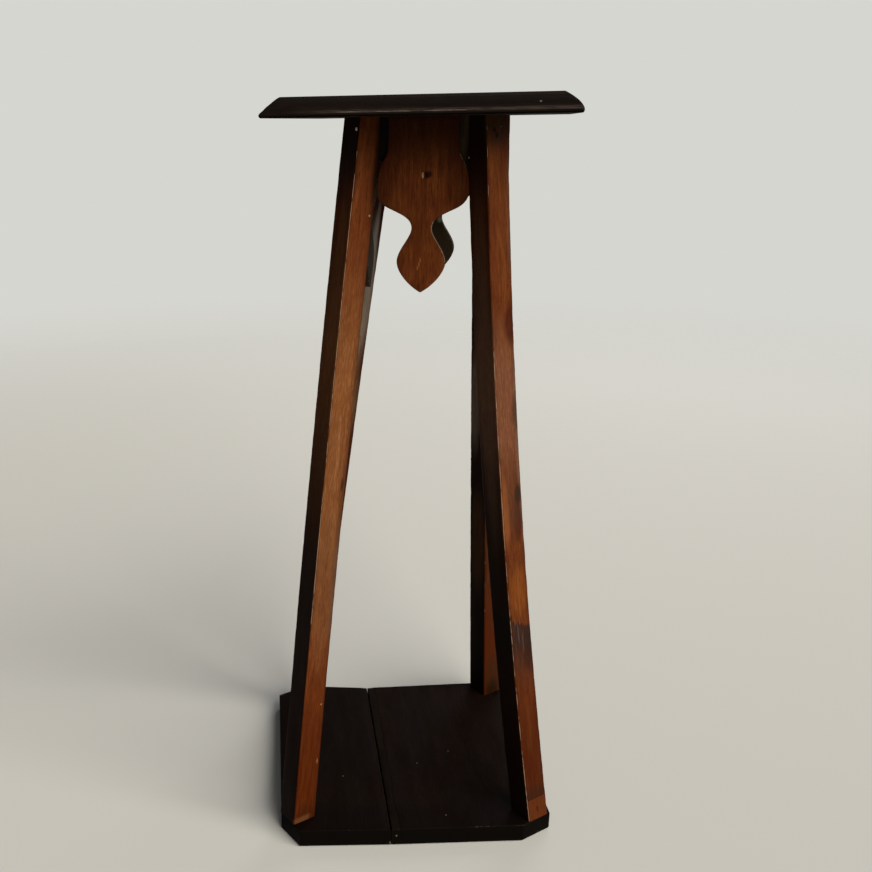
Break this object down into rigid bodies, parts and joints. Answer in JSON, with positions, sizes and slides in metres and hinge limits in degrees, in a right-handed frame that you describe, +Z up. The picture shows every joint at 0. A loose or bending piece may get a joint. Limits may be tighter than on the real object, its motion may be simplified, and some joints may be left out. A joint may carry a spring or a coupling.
{
  "type": "plant stand",
  "caption": "Tall square plant stand with a round-over top, splayed corner-set legs, fretted pendant aprons and a sawn-corner base.",
  "frame": {"origin": "on the base's underside, the middle of the 280 mm square that the legs stand on, on the surface that the stand stands on", "axes": "+Z up, -Y towards the front, +X to the right; X and Y are square to the base's sides, and the top is turned 13.5 degrees clockwise against them"},
  "size_m": [0.334, 0.334, 0.74],
  "materials": {
    "mahogany": "old shellac polish, satin, worn at the arrises",
    "dark_mahogany": "dark stained and polished, satin",
    "pine": "bare sawn wood, darkened with age",
    "beech": "bare turned wood",
    "steel": "dull, bare"
  },
  "bodies": {
    "root": {"top_board": "dark_mahogany", "leg_front_left": "mahogany", "leg_front_right": "mahogany", "leg_back_left": "mahogany", "leg_back_right": "mahogany", "apron_front": "mahogany", "apron_right": "mahogany", "apron_back": "mahogany", "apron_left": "mahogany", "corner_block_front_left": "pine", "corner_block_front_right": "pine", "corner_block_back_left": "pine", "corner_block_back_right": "pine", "base_board_narrow": "dark_mahogany", "base_board_wide": "dark_mahogany", "base_dowel_1": "beech", "base_dowel_2": "beech", "base_dowel_3": "beech", "foot_screw_front_left": "steel", "foot_screw_front_right": "steel", "foot_screw_back_left": "steel", "foot_screw_back_right": "steel", "block_screw_front_left": "steel", "block_screw_front_right": "steel", "block_screw_back_left": "steel", "block_screw_back_right": "steel", "leg_nail_front_left": "steel", "leg_nail_front_right": "steel", "leg_nail_back_left": "steel", "leg_nail_back_right": "steel"}
  },
  "joints": []
}
